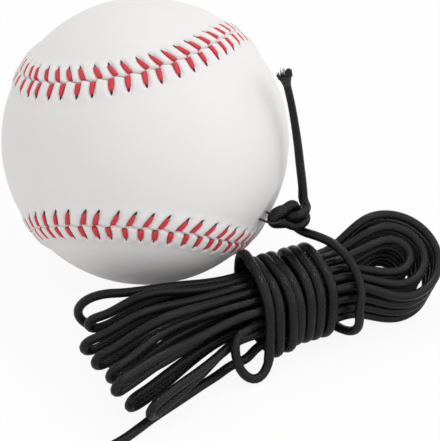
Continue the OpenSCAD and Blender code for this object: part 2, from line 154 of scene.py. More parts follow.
class Shader:
    def __init__(self, name, world=False):
        self.owner = (bpy.data.worlds if world else bpy.data.materials).new(name)
        self.owner.use_nodes = True
        self.tree = self.owner.node_tree
        self.surface = self.tree.nodes["Background" if world else "Principled BSDF"]

    def node(self, kind, **settings):
        made = self.tree.nodes.new(kind)
        for key, value in settings.items():
            setattr(made, key, value)
        return made

    def link(self, source, target):
        self.tree.links.new(source, target)

    def put(self, target, value):
        if isinstance(value, bpy.types.NodeSocket):
            self.link(value, target)
        else:
            target.default_value = value

    def math(self, operation, *values):
        made = self.node("ShaderNodeMath", operation=operation)
        for target, value in zip(made.inputs, values):
            self.put(target, value)
        return made.outputs[0]

    def mapped(self, value, fromLow, fromHigh, toLow, toHigh):
        made = self.node("ShaderNodeMapRange", interpolation_type="SMOOTHSTEP")
        for target, number in zip(made.inputs, (value, fromLow, fromHigh, toLow, toHigh)):
            self.put(target, number)
        return made.outputs[0]

    def mix(self, share, first, second):
        made = self.node("ShaderNodeMix", data_type="RGBA")
        self.put(made.inputs["Factor"], share)
        self.put(made.inputs[6], first)  # the sockets for colours, which share their names with others
        self.put(made.inputs[7], second)
        return made.outputs[2]

    def coordinates(self):
        return self.node("ShaderNodeTexCoord").outputs["Object"]

    def uvParts(self):
        parts = self.node("ShaderNodeSeparateXYZ")
        self.link(self.node("ShaderNodeUVMap", uv_map="UVMap").outputs[0], parts.inputs[0])
        return parts.outputs[0], parts.outputs[1]

    def noise(self, place, scale, detail):
        made = self.node("ShaderNodeTexNoise")
        self.link(place, made.inputs["Vector"])
        made.inputs["Scale"].default_value = scale
        made.inputs["Detail"].default_value = detail
        return made.outputs["Fac"]

    def cells(self, place, scale):
        made = self.node("ShaderNodeTexVoronoi")
        self.link(place, made.inputs["Vector"])
        made.inputs["Scale"].default_value = scale
        return made.outputs["Distance"]

    def bump(self, height, distance, strength):
        made = self.node("ShaderNodeBump")
        made.inputs["Strength"].default_value = strength
        made.inputs["Distance"].default_value = distance
        self.link(height, made.inputs["Height"])
        return made.outputs["Normal"]

    def finish(self, colour, rough, normal=None, specular=0.5):
        self.put(self.surface.inputs["Base Color"], colour)
        self.put(self.surface.inputs["Roughness"], rough)
        self.put(self.surface.inputs["Specular IOR Level"], specular)
        if normal is not None:
            self.link(normal, self.surface.inputs["Normal"])
        return self.owner


# The cord's line: the solids' routes, with a few stretches drawn tighter, looser or less even.
# It is in millimetres here, and in metres when the tube is made

cord = {
    "across": 2.3, "floorClear": 0.1, "sides": 14,
    "routeSteps": 8, "ringStep": 0.9, "soften": 2,  # points to each stretch of a route, then even rings
    "tooNear": 1e-6,
}

hank = {
    "waistHeading": -41.1, "waistOut": 10.85, "turn": 24,
    "cols": 6, "rows": 4, "waistHalf": 12.5, "strandPitch": 2.95, "belly": 0.11, "crown": 0.3,
    "rightRun": 15.5, "rightInner": 4.6, "rightStep": 3.7, "rightRow": 3.8, "rightTilt": 25,
    "leftSplit": 1, "tierRise": 4.2, "tierGap": 5.6, "hump": 4.4, "humpFront": 0.25, "humpSkew": 0.6,
    "stubTurn": 22, "fanFrom": (-5, 0, 0), "frontLift": (2.8, 3),
    "leftTips": [  # along and across, for the lower tier's fingers and then the upper tier's
        [(-43.7, -20.3), (-46, -13), (-45, -3.5), (-45.5, 4), (-44, 9)],
        [(-50.8, -16.9), (-50.2, -12.3), (-51.5, -6.5), (-52, -0.5), (-48, 6.8)],
    ],
    "jointLow": (-41.5, 13.8, 2.2), "jointHigh": (-40.5, 11, 15.7), "jointStretch": 1.35,
    "sway": 1.7, "heave": (-0.24, 0.8), "swayRow": 2, "swaySeed": 3,  # how far the upper fan's strands wander
    "bows": {(1, 0): (1.7, 0), (0, 1): (1.6, 0), (3, 2): (2.4, 2.6)},  # strands that bow, by row and column
    "leftPoints": 12, "rightPoints": 8, "leftTurnPoints": 16, "rightTurnPoints": 24,
}

wraps = {
    "turns": 7, "pitch": 2.8, "halfWidth": 10.8, "halfHeight": 9.4, "power": 3, "first": 0.02, "last": 7,
    "turnPoints": 60, "leadIn": 1 / 24,
    "pressThin": 0.08, "pressWide": 0.26,  # the turns lie flattened against each other
    "pressHalf": 11.5, "pressFade": 1.5, "pressLean": (0.25, 0.5),
    "wander": 0.55, "wanderTimes": 2.4,  # no two turns lie quite alike
    "slack": [  # the turn where it peaks, half its width in turns, then along, out and up
        (0.33, 0.13, 0.4, -1.6, 1.8), (0.88, 0.1, 0, 2.2, 0), (1.88, 0.1, 0, 1.6, 0),
        (6.95, 0.2, 3.8, 2, -0.2),
    ],
}

ballSize = {"across": 73, "anchorHeading": -32.8, "anchorDrop": 14, "anchorOut": 2.9}

tie = {
    "turn": 33, "loop": 1.45, "loopFirst": 90, "loopLast": 270, "loopStep": 15,
    "knot": 2.6, "knotOut": 6.9, "knotLow": -2.6, "knotRise": 2.4 / 270,
    "knotFirst": -132, "knotLevel": -90, "knotLast": 360, "knotStep": 20.5,
    "stubLow": -3.4, "stubGap": 0.3, "stubLength": 1.3,
    "joinDeep": 0.7, "joinThin": 0.94, "joinRings": 3,  # the lower end runs on into the lead, so no gap shows
    "swell": 0.28, "swellFrom": (2.5, 4),  # the bight is squeezed wide
    "knotSwell": 0.08, "knotTop": (3, 6), "tailThin": 0.16, "tailSpan": (6, 30),  # the tail is drawn thin
    "routeSteps": 4, "ringStep": 0.5, "sides": 16,
}

ballRadius = ballSize["across"] / 2
lay = cord["across"] / 2 + cord["floorClear"]
waistHigh = lay + wraps["halfHeight"]
midCol = (hank["cols"] - 1) / 2
midRow = (hank["rows"] - 1) / 2
loopCount = hank["cols"] * hank["rows"] // 2

startRoute = [  # from the last loop round the front to the first turn of the waist, in the hank's axes
    (-18.2, -10.2, 11.9), (-19.8, -12.2, 10.4), (-19.8, -13.4, 7.4), (-18.9, -14.1, 4.1), (-17, -15.1, 1.8),
    (-14.8, -15.4, 1.4), (-12.6, -14.4, 2.4), (-11.1, -13.2, 4.8),
]
leadRoute = [  # from the last turn of the waist over the top to the knot, in the hank's axes
    (14.9, -11.1, 15.2), (15.4, -7.3, 18.1), (15, -2.6, 20.4), (13.6, 2, 21.6), (11.3, 6.2, 21.8),
    (9, 9.6, 21.6),
]
firstRoute = [  # the first loop's end, low through the waist, in the hank's axes
    (6, -7, 5.4), (0, -6.7, 4.7), (-6, -6.6, 4.4), (-10, -6.9, 4), (-12.6, -7.5, 3.2), (-15, -8.7, 2.5),
]
freeRoute = [  # from there down to the floor and out to the sealed end, from the waist's middle
    (-13.9, -16, 2), (-17.5, -19, lay), (-21.3, -22.7, lay), (-25.6, -27.1, lay), (-30, -31.5, lay),
    (-33.3, -34.9, lay), (-35.8, -37.8, lay), (-40.2, -42.4, lay), (-46.5, -46.8, lay), (-53.5, -50.2, lay),
    (-60.5, -51.6, lay), (-65, -51.6, lay), (-69.5, -51.6, lay),
]
standingRoute = [(0, 0, -2.4), (0, 0, -0.9), (-0.25, 0, 1.2), (-1.1, 0, 2.4)]  # up through the knot
loopRoute = [(4.2, 0, 2.0), (2.9, 0, 1.5)]  # from there to the loop through the eye, in the tie's axes
knotRoute = [(2.7, -0.5, -1.6), (3.9, -1.1, -2.2)]  # from the loop back to the knot
tailRoute = [  # from the knot up to the frayed tip
    (9.5, 0.7, 2.6), (9.5, 0.8, 4.2), (9.45, 1.2, 7), (9.4, 2.3, 12), (9.5, 3.6, 17), (9.5, 5.2, 22.5),
    (9.4, 6.8, 27.5), (9.1, 8.1, 31.5),
]

waistAt = (ballRadius + hank["waistOut"]) * turned((1, 0, 0), hank["waistHeading"])
eyeFar = ballRadius + ballSize["anchorOut"]
eyeAt = turned((eyeFar * math.cos(math.radians(ballSize["anchorDrop"])), 0, 0), ballSize["anchorHeading"])
eyeAt[2] = ballRadius - eyeFar * math.sin(math.radians(ballSize["anchorDrop"]))
stubWay = -cord["across"] * turned((1, 0, 0), hank["stubTurn"])
waistWay = turned((1, 0, 0), hank["turn"])


def inHank(p):
    return waistAt + turned(p, hank["turn"])


def inTie(p):
    return eyeAt + turned(p, tie["turn"])


def eased(a, da, b, db, k):
    return ((2 * k**3 - 3 * k**2 + 1) * a + (k**3 - 2 * k**2 + k) * da
            + (3 * k**2 - 2 * k**3) * b + (k**3 - k**2) * db)


def smoothRoute(route, steps=cord["routeSteps"]):
    r = [np.asarray(p, float) for p in route]
    r = [2 * r[0] - r[1]] + r + [2 * r[-1] - r[-2]]
    line = [eased(r[i], (r[i + 1] - r[i - 1]) / 2, r[i + 1], (r[i + 2] - r[i]) / 2, s / steps)
            for i in range(1, len(r) - 2) for s in range(steps)]
    return line + [r[-2]]


def evenly(line, step):
    p = np.array(line)
    p = p[np.r_[True, np.linalg.norm(np.diff(p, axis=0), axis=1) > cord["tooNear"]]]
    run = runAlong(p)
    places = np.linspace(0, run[-1], int(run[-1] / step) + 1)
    p = np.stack([np.interp(places, run, p[:, k]) for k in range(3)], 1)
    for _ in range(cord["soften"]):
        p[1:-1] = (p[:-2] + 2 * p[1:-1] + p[2:]) / 4
    return p


def waistPoint(row, col, end):
    wide = 1 + hank["belly"] * (1 - ((row - midRow) / midRow) ** 2)
    high = 1 + hank["crown"] * (1 - ((col - midCol) / midCol) ** 2)
    return np.array([
        end * hank["waistHalf"],
        (col - midCol) * hank["strandPitch"] * wide,
        waistHigh + (row - midRow) * hank["strandPitch"] * high,
    ])


def rightRadius(col):
    return hank["rightInner"] + hank["rightStep"] * (abs(col - midCol) - 0.5)


def rightTurnPoint(row, col, deg):
    tilt, d = math.radians(hank["rightTilt"]), math.radians(deg)
    across = np.array([0, math.cos(tilt), math.sin(tilt)])
    up = np.array([0, -math.sin(tilt), math.cos(tilt)])
    high = lay + rightRadius(0) * math.sin(tilt) + midRow * hank["rightRow"] * math.cos(tilt)
    middle = np.array([hank["waistHalf"] + hank["rightRun"], 0, high])
    middle = middle + (row - midRow) * hank["rightRow"] * up
    side = math.copysign(math.cos(d), (col - midCol) * math.cos(d))
    return middle + rightRadius(col) * (side * across + np.array([math.sin(d), 0, 0]))


def rightRunPoint(row, col, k):
    a, b = waistPoint(row, col, 1), rightTurnPoint(row, col, 0)
    way = np.array([np.linalg.norm(b - a), 0, 0])
    return eased(a, way, b, way, k)


def strandSways():
    rng = random.Random(hank["swaySeed"])
    wandering = {}
    for row in range(hank["rows"]):
        for col in range(hank["cols"]):
            aside, up = eitherWay(rng, hank["sway"]), rng.uniform(*hank["heave"])
            wandering[row, col] = (aside, up) if row >= hank["swayRow"] else (0, 0)
    return {**wandering, **hank["bows"]}


sways = strandSways()


def isJoint(row, col):  # where the cord goes up from the lower tier to the upper
    return row % 2 == 1 and col == hank["cols"] - 1


def leftTip(row, col):
    tier, upper = row // 2, row % 2
    if isJoint(row, col):
        return np.array(hank["jointHigh"] if tier else hank["jointLow"], float)
    finger = col if upper else col - 1
    lift = hank["frontLift"][upper] if tier == 0 and finger == 0 else 0
    return np.array([*hank["leftTips"][tier][finger],
                     tier * (hank["tierRise"] + hank["tierGap"]) + upper * hank["tierRise"] + lift])


def leftWay(row, col):
    v = leftTip(row, col) - np.array(hank["fanFrom"])
    return unit([v[0], v[1], 0])


def leftEnd(row, col):
    way = leftWay(row, col)
    aside = 0 if isJoint(row, col) else hank["leftSplit"] * (0.5 - row % 2)
    return leftTip(row, col) + np.array([aside * way[1], -aside * way[0], lay])


def humpRise(row, col, k):
    if isJoint(row, col):
        return 0
    front = hank["humpFront"]
    share = row / (hank["rows"] - 1) * (front + (1 - front) * col / (hank["cols"] - 1))
    return hank["hump"] * share * math.sin(math.pi * k * (1 + hank["humpSkew"] * (1 - k))) ** 2


def leftRunPoint(row, col, k):
    a, b = leftEnd(row, col), waistPoint(row, col, -1)
    n = np.linalg.norm(b - a)
    way = leftWay(row, col)
    aside, up = sways[row, col]
    wander = math.sin(math.pi * k) ** 2 * np.array([-aside * way[1], aside * way[0], up])
    return eased(a, -n * way, b, np.array([n, 0, 0]), k) + np.array([0, 0, humpRise(row, col, k)]) + wander


def leftTurnPoint(start, end, deg):
    a, b = leftEnd(*start), leftEnd(*end)
    half = (a - b) / 2
    side = unit(half)
    out = leftWay(*start) + leftWay(*end)
    out = unit(out - (out @ side) * side)
    reach = np.linalg.norm(half) * (hank["jointStretch"] if isJoint(*start) else 1)
    d = math.radians(deg)
    return (a + b) / 2 + math.cos(d) * half + math.sin(d) * reach * out


def loopPlace(i):  # row and column of the strand that a loop starts with
    lower = i < loopCount // 2
    place = i if lower else loopCount - 1 - i
    start = place if place % 2 == 0 else hank["cols"] - 1 - place
    row = place % 2 + (0 if lower else 2)
    return row, (start if lower else hank["cols"] - 1 - start)


def leftRun(row, col):
    return [leftRunPoint(row, col, k / hank["leftPoints"]) for k in range(hank["leftPoints"])]


def rightRun(row, col):
    count = hank["rightPoints"]
    ends = [waistPoint(row, col, end) for end in (-1, 1)]
    return ends + [rightRunPoint(row, col, k / count) for k in range(1, count + 1)]


def hankLine():
    leftTurn, rightTurn = hank["leftTurnPoints"], hank["rightTurnPoints"]
    line = []
    for i in range(loopCount):
        row, start = loopPlace(i)
        end = hank["cols"] - 1 - start
        line += leftRun(row, start) + rightRun(row, start) if i else rightRun(row, start)[1:]
        line += [rightTurnPoint(row, start, 180 * s / rightTurn) for s in range(1, rightTurn)]
        line += rightRun(row, end)[::-1]
        if i < loopCount - 1:
            line += leftRun(row, end)[::-1]
            places = (row, end), loopPlace(i + 1)
            line += [leftTurnPoint(*places, 180 * s / leftTurn) for s in range(1, leftTurn)]
    return line + [line[-1] + stubWay]


def wrapPoint(q):
    a = math.radians(180 - 360 * q)
    p = 2 / wraps["power"]
    wide = wraps["halfWidth"] * math.copysign(abs(math.cos(a)) ** p, math.cos(a))
    high = wraps["halfHeight"] * math.copysign(abs(math.sin(a)) ** p, math.sin(a))
    loose = np.zeros(3)
    for peak, width, along, out, up in wraps["slack"]:
        loose += np.array([along, -out, up]) * math.exp(-(((q - peak) / width) ** 2))
    wander = wraps["wander"] * math.sin(wraps["wanderTimes"] * q) * math.sin(a + q)
    return np.array([(q - wraps["turns"] / 2) * wraps["pitch"] + wander, wide, waistHigh + high]) + loose


def wrapsLine(hankEnd):
    first, last = wraps["first"], wraps["last"]
    count = round((last - first) * wraps["turnPoints"])
    body = [wrapPoint(first + (last - first) * i / count) for i in range(count + 1)]
    route = [hankEnd, hankEnd + stubWay] + startRoute + [body[0], wrapPoint(first + wraps["leadIn"])]
    start = smoothRoute(route)[cord["routeSteps"]:-cord["routeSteps"] - 1]  # without its two outer stretches
    return start + body + [body[-1] + cord["across"] * unit(body[-1] - body[-2])]


def tetherLine():
    own = hankLine()
    turns = wrapsLine(own[-1])
    top = tie["stubLow"] - tie["stubGap"]
    stub = [inTie((tie["knotOut"], 0, top - k * tie["stubLength"])) for k in (1, 0.5, 0)]
    lead = smoothRoute([inHank(p) for p in turns[-2:] + leadRoute] + stub)[cord["routeSteps"]:]
    free = smoothRoute([inHank(p) for p in own[:1] + firstRoute] + [waistAt + np.array(p) for p in freeRoute])
    whole = free[:0:-1] + [inHank(p) for p in own + turns] + lead[1:]
    return evenly(whole[::-1], cord["ringStep"])


def tieLine():
    out, r = tie["knotOut"], tie["loop"]
    low = tie["stubLow"] - tie["stubGap"] - tie["joinDeep"]
    points = [(out, 0, low), (out, 0, tie["stubLow"])]
    points += [(out + p[0], p[1], p[2]) for p in standingRoute] + loopRoute
    for deg in np.arange(tie["loopFirst"], tie["loopLast"] + 1, tie["loopStep"]):
        a = math.radians(deg)
        points.append((r + r * math.cos(a), 0, r * math.sin(a)))
    points += knotRoute
    for deg in np.arange(tie["knotFirst"], tie["knotLast"] + 1, tie["knotStep"]):
        a = math.radians(deg)
        points.append((out + tie["knot"] * math.cos(a), tie["knot"] * math.sin(a),
                       tie["knotLow"] + (deg - tie["knotLevel"]) * tie["knotRise"]))
    route = [inTie(p) for p in points + tailRoute]
    return evenly(smoothRoute(route, tie["routeSteps"]), tie["ringStep"])


def waistPress(line):
    way = unit(np.gradient(line, axis=0))
    across = 1 - smoothStep(*wraps["pressLean"], np.abs(way @ waistWay))
    half = wraps["pressHalf"]
    inside = 1 - smoothStep(half, half + wraps["pressFade"], np.abs((line - waistAt) @ waistWay))
    return across * inside


def tieRadii(line):
    out = (line - eyeAt) @ turned((1, 0, 0), tie["turn"])
    up = line[:, 2] - eyeAt[2]
    join = tie["joinRings"]
    radii = np.full(len(line), cord["across"] / 2)
    radii[:join] *= tie["joinThin"]
    radii *= 1 + tie["swell"] * (1 - smoothStep(*tie["swellFrom"], out))
    radii[join:] *= 1 + tie["knotSwell"] * (1 - smoothStep(*tie["knotTop"], up[join:]))
    return radii * (1 - tie["tailThin"] * smoothStep(*tie["tailSpan"], up))


def tube(name, line, radii, sides, press=None):
    n, w = len(line), sides + 1
    way = unit(np.gradient(line, axis=0))
    side = np.zeros_like(line)
    side[0] = unit(np.cross(way[0], (1, 0, 0)))  # both cords start upright, at the knot
    for i in range(1, n):
        side[i] = unit(side[i - 1] - (side[i - 1] @ way[i]) * way[i])
    other = np.cross(way, side)
    around = 2 * math.pi * np.arange(w) / sides
    ring = np.cos(around)[None, :, None] * side[:, None] + np.sin(around)[None, :, None] * other[:, None]
    if press is not None:
        along = (ring @ waistWay)[..., None] * waistWay
        share = press[:, None, None]
        ring = ring * (1 - wraps["pressThin"] * share) + along * wraps["pressWide"] * share
    points = (line[:, None] + radii[:, None, None] * ring).reshape(-1, 3) * mm
    run = runAlong(line) / (math.pi * cord["across"])  # in girths, so that the braid isn't stretched
    uvs = np.stack(np.broadcast_arrays(np.arange(w)[None] / sides, run[:, None]), -1).reshape(-1, 2)
    faces = [(i * w + s, i * w + s + 1, (i + 1) * w + s + 1, (i + 1) * w + s)
             for i in range(n - 1) for s in range(sides)]
    faces += [list(range(sides))[::-1], [(n - 1) * w + s for s in range(sides)]]
    piece = newPiece(name, points, faces, uvs)
    tidyMesh(piece)
    return piece


# The cord's two ends: one melted shut, one cut and frayed

sealed = {
    "length": 12, "sides": 18, "round": 0.8, "segments": 4, "rimNear": 0.01, "cuts": 8,
    "shrink": 0.05, "shrinkOver": 3, "lumps": 0.03, "lumpsOver": 2,  # it starts as the plain cord
    "waves": 4, "waveRise": (0.5, 1.1), "waveTimes": (1, 3), "waveStart": (0, 6.3), "seed": 5,
}


def endAxes(line):
    way = unit(line[-1] - line[-4])
    aside = unit(np.cross(way, (0, 0, 1)))
    return aside, np.cross(way, aside), way


def makeSealedEnd(line):
    length, cuts = sealed["length"], sealed["cuts"]
    deselectAll()
    bpy.ops.mesh.primitive_cylinder_add(vertices=sealed["sides"], radius=cord["across"] / 2 * mm,
                                        depth=length * mm, location=(0, 0, length / 2 * mm))
    piece = bpy.context.object
    piece.name = "sealedEnd"
    bpy.ops.object.transform_apply(location=True)
    deselectPoints(piece)
    for vertex in piece.data.vertices:
        vertex.select = vertex.co.z > (length - sealed["rimNear"]) * mm
    bpy.ops.object.mode_set(mode="EDIT")
    bpy.ops.mesh.bevel(offset=sealed["round"] * mm, segments=sealed["segments"])
    for i in range(1, cuts):
        bpy.ops.mesh.select_all(action="SELECT")
        height = (length - sealed["round"]) * i / cuts
        bpy.ops.mesh.bisect(plane_co=(0, 0, height * mm), plane_no=(0, 0, 1))
    bpy.ops.object.mode_set(mode="OBJECT")
    turn = np.stack(endAxes(line))
    rng = random.Random(sealed["seed"])
    waves = [(rng.uniform(*sealed["waveRise"]), rng.randint(*sealed["waveTimes"]),
              rng.uniform(*sealed["waveStart"])) for _ in range(sealed["waves"])]
    for vertex in piece.data.vertices:
        x, y, z = np.array(vertex.co) / mm
        angle = math.atan2(y, x)
        lump = sum(math.sin(z * rise + angle * times + start) for rise, times, start in waves) / len(waves)
        wide = (1 - sealed["shrink"] * min(z / sealed["shrinkOver"], 1)
                + sealed["lumps"] * lump * min(z / sealed["lumpsOver"], 1))
        vertex.co = (line[-1] + np.array([x * wide, y * wide, z]) @ turn) * mm
    piece.data.shade_smooth()
    tidyMesh(piece)
    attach(piece, "hank")
    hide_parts("cord_end")
    return piece


fray = {
    "sides": 22, "sleeve": 3.2, "start": 0.84, "flare": 0.85, "flarePower": 1.4,  # the opened braid
    "ridge": 0.07, "jag": 0.3, "jagPower": 4, "lobes": 0.6, "lobeTurn": 0.4,
    "rings": [  # share of the height, and how far inward
        (0, 0), (0.2, 0), (0.45, 0), (0.7, 0), (0.88, 0), (1, 0), (1, 0.22), (0.75, 0.5),
    ],
    "fibres": 46, "fibreRounds": 3, "fibreShift": 0.4, "fibreAcross": 0.22, "fibreRoot": (0.7, 0.85),
    "fibreOut": (0.45, 0.98), "fibreLength": (0.21, 1.05), "fibreSpread": (-0.25, 0.5),
    "fibreTurn": 0.3, "fibreBend": 0.2,
    "strands": 2, "strandShift": 0.3, "strandAcross": 0.45, "strandRoot": (0.6, 0.5),  # the rubber inside
    "strandLength": (0.64, 1.6), "strandOut": (0.4, 1), "strandBend": 0.15,
    "spikeSides": 5, "spikeTaper": (0.5, 0.42, 0.2), "spikeSide": (0.3, 0.9, 0.2), "seed": 23,
}


def spike(base, tip, bend, across, kind):
    sides = fray["spikeSides"]
    way = unit(tip - base)
    aside = unit(np.cross(way, fray["spikeSide"]))
    over = np.cross(way, aside)
    points, uvs = [], []
    for place, share in zip((base, (base + tip) / 2 + bend, tip), fray["spikeTaper"]):
        for s in range(sides):
            a = 2 * math.pi * s / sides
            points.append(place + across * share * (math.cos(a) * aside + math.sin(a) * over))
            uvs.append((kind, s / sides))
    return points, uvs, ringFaces(len(fray["spikeTaper"]), sides)


def makeFrayedTip(line):
    aside, over, way = endAxes(line)
    rng = random.Random(fray["seed"])
    n, r, sleeve = fray["sides"], cord["across"] / 2, fray["sleeve"]
    jags = [eitherWay(rng, fray["jag"]) + fray["lobes"] * math.cos(4 * math.pi * s / n + fray["lobeTurn"])
            for s in range(n)]

    def at(height, radius, angle):
        return line[-1] + height * way + radius * (math.cos(angle) * aside + math.sin(angle) * over)

    points, uvs = [], []
    for k, inner in fray["rings"]:
        for s in range(n):
            height = sleeve * k + jags[s] * k ** fray["jagPower"]
            wide = fray["start"] + fray["flare"] * k ** fray["flarePower"] + fray["ridge"] * (-1) ** s * k
            points.append(at(height, r * wide - inner, 2 * math.pi * s / n))
            uvs.append((0, s / n))
    faces = ringFaces(len(fray["rings"]), n)

    def grow(spikeParts):
        first = len(points)
        points.extend(spikeParts[0])
        uvs.extend(spikeParts[1])
        faces.extend([[first + v for v in face] for face in spikeParts[2]])

    rootHigh, rootOut = fray["fibreRoot"]
    for i in range(fray["fibres"]):
        angle = 2 * math.pi * (i + eitherWay(rng, fray["fibreShift"])) / fray["fibres"] * fray["fibreRounds"]
        radius = r * (1 + fray["flare"]) * rng.uniform(*fray["fibreOut"])
        high = sleeve + rng.uniform(*fray["fibreLength"])
        base = at(sleeve * rootHigh, radius * rootOut, angle)
        out = radius + rng.uniform(*fray["fibreSpread"])
        tip = at(high, out, angle + eitherWay(rng, fray["fibreTurn"]))
        grow(spike(base, tip, eitherWay(rng, fray["fibreBend"]) * aside, fray["fibreAcross"], 0))
    rootHigh, rootOut = fray["strandRoot"]
    for i in range(fray["strands"]):
        angle = 2 * math.pi * (i + fray["strandShift"]) / fray["strands"]
        base = at(sleeve * rootHigh, r * rootOut, angle)
        tip = at(sleeve + rng.uniform(*fray["strandLength"]), r * rng.uniform(*fray["strandOut"]), angle)
        grow(spike(base, tip, fray["strandBend"] * over, fray["strandAcross"], 1))
    piece = newPiece("frayedTip", np.array(points) * mm, faces, uvs)
    faceOutward(piece)
    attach(piece, "tie")
    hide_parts("tail_tip")
    return piece


def makeCords():
    line = tetherLine()
    radii = np.full(len(line), cord["across"] / 2)
    tether = tube("tetherCord", line, radii, cord["sides"], waistPress(line))
    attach(tether, "hank")
    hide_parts("tether_lead", "waist_wraps", "hank_loops", "free_end")
    seal = makeSealedEnd(line)
    tied = tieLine()
    knot = tube("tieCord", tied, tieRadii(tied), tie["sides"])
    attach(knot, "tie")
    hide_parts("tie_loop", "tether_knot", "knot_tail")
    tip = makeFrayedTip(tied)
    return tether, knot, seal, tip


tetherCord, tieCord, sealedEnd, frayedTip = makeCords()


# Leather panels: a band of tongues along the seam, then a plain sheet across the middle

seam = {
    "lobe": 0.47, "stitches": 100, "perStitch": 12, "roll": 134, "pitch": 55, "heading": -174,
    "wayStep": 0.002, "tablePoints": 6001,
    "gap": 0.1, "reach": 4.0, "inner": 0.5, "lean": 13, "leanSwing": 9, "leanPeak": 87,
    "rowShift": {1: -0.26, -1: 0.0},  # in stitches: the two rows are pulled past each other
    "jitter": 0.1, "jitterSeeds": {-1: 31, 1: 37},
    "saw": 0.5, "sawFade": 2.4,
    "rows": [0.0, 0.1, 0.28, 0.5, 0.8, 1.2, 1.7, 2.2, 2.7, 3.2, 3.6, 3.95, 4.3, 4.65, 5.1, 5.7, 6.4],
    "edgeDrop": 0.34, "edgeRound": 0.24, "puff": 0.72, "puffFrom": (-0.3, 0.7), "puffTo": (2.6, 6.2),
    "groove": 0.95, "grooveHalf": 0.5, "grooveFade": 0.75, "grooveEnd": 0.7,
    "pit": 0.3, "pitHalf": 0.4, "pitPast": 0.2, "pitLong": 0.6,
    "across": 26, "innerRadius": 35.2, "merge": 2e-6,
    "uvDepth": 10, "plainUv": 0.9,  # millimetres to one unit of the map, and a place beyond the seam's marks
}


def seamAt(t):
    lobe = seam["lobe"]
    return unit(np.stack([np.cos(t) + lobe * np.cos(3 * t), np.sin(t) - lobe * np.sin(3 * t),
                          np.sin(2 * t)], -1))


def seamWay(t):
    return unit(seamAt(t + seam["wayStep"]) - seamAt(t - seam["wayStep"]))


def seamTable():  # with one more round at either end, for counts beyond the first and last stitch
    t = np.linspace(-2 * math.pi, 4 * math.pi, seam["tablePoints"])
    run = runAlong(seamAt(t))
    first, last = np.interp(0, t, run), np.interp(2 * math.pi, t, run)
    counts = (run - first) / (last - first) * seam["stitches"]
    return t, counts, (last - first) * ballRadius / seam["stitches"]


seamAngles, seamCounts, stitchPitch = seamTable()


def seamPlace(count, out, along=0.0):
    t = np.interp(count, seamCounts, seamAngles)
    at, way = seamAt(t), seamWay(t)
    outward, onward = np.asarray(out)[..., None], np.asarray(along)[..., None]
    return unit(ballRadius * at + outward * np.cross(way, at) + onward * way)


def ballTurn():
    turns = [math.radians(seam[k]) for k in ("roll", "pitch", "heading")]
    return np.array(mathutils.Euler(turns).to_matrix())


ballMatrix = ballTurn()


def onBall(directions, radii):
    p = (directions * np.asarray(radii)[..., None]) @ ballMatrix.T
    return (p + np.array([0, 0, ballRadius])) * mm


def rowJitter(side):
    rng = random.Random(seam["jitterSeeds"][side])
    return np.array([eitherWay(rng, seam["jitter"]) for _ in range(seam["stitches"])])


jitters = {side: rowJitter(side) for side in (-1, 1)}


def sawEdge(count, d):  # the seam runs in small saw teeth, because each stitch pulls the other panel to it
    steep = seam["rowShift"][-1] - seam["rowShift"][1]
    k = (count - 0.5 - seam["rowShift"][1]) % 1
    tooth = np.where(k < steep, 1 - 2 * k / steep, -1 + 2 * (k - steep) / (1 - steep))
    return seam["saw"] * tooth * (1 - smoothStep(0, seam["sawFade"], d))


def stitchLean(side, count):  # each row leans more on one half of the ball than on the other
    swing = np.cos(2 * math.pi * (count - seam["leanPeak"]) / seam["stitches"])
    return np.tan(np.radians(seam["lean"] + side * seam["leanSwing"] * swing))


def stitchCount(side, count, d):  # whole numbers and a half on the middle of each stitch
    leaned = count - seam["rowShift"][side] + (d - seam["inner"]) * stitchLean(side, count) / stitchPitch
    return leaned - jitters[side][np.floor(leaned).astype(int) % seam["stitches"]]


def leatherHeight(side, count, d):
    off = np.abs((stitchCount(side, count, d) % 1) - 0.5) * stitchPitch  # from the nearest stitch's middle
    groove = 1 - smoothStep(seam["grooveHalf"], seam["grooveHalf"] + seam["grooveFade"], off)
    groove = groove * (1 - smoothStep(seam["reach"], seam["reach"] + seam["grooveEnd"], d))
    puff = seam["puff"] * smoothStep(*seam["puffFrom"], d) * (1 - smoothStep(*seam["puffTo"], d))
    edge = -seam["edgeDrop"] * np.exp(-((d / seam["edgeRound"]) ** 2))
    past = d - seam["reach"] - seam["pitPast"]
    pit = -seam["pit"] * np.exp(-((off / seam["pitHalf"]) ** 2) - (past / seam["pitLong"]) ** 2)
    return edge + puff * (1 - seam["groove"] * groove) + pit


def gridFaces(rows, cols, first):
    a = (np.arange(rows - 1)[:, None] * cols + np.arange(cols - 1)[None]).ravel() + first
    return np.stack([a, a + 1, a + cols + 1, a + cols], 1)


def plainLayer(directions, radii):
    shape = directions.shape[:2]
    return directions, np.full(shape, radii), np.full(shape + (2,), seam["plainUv"])


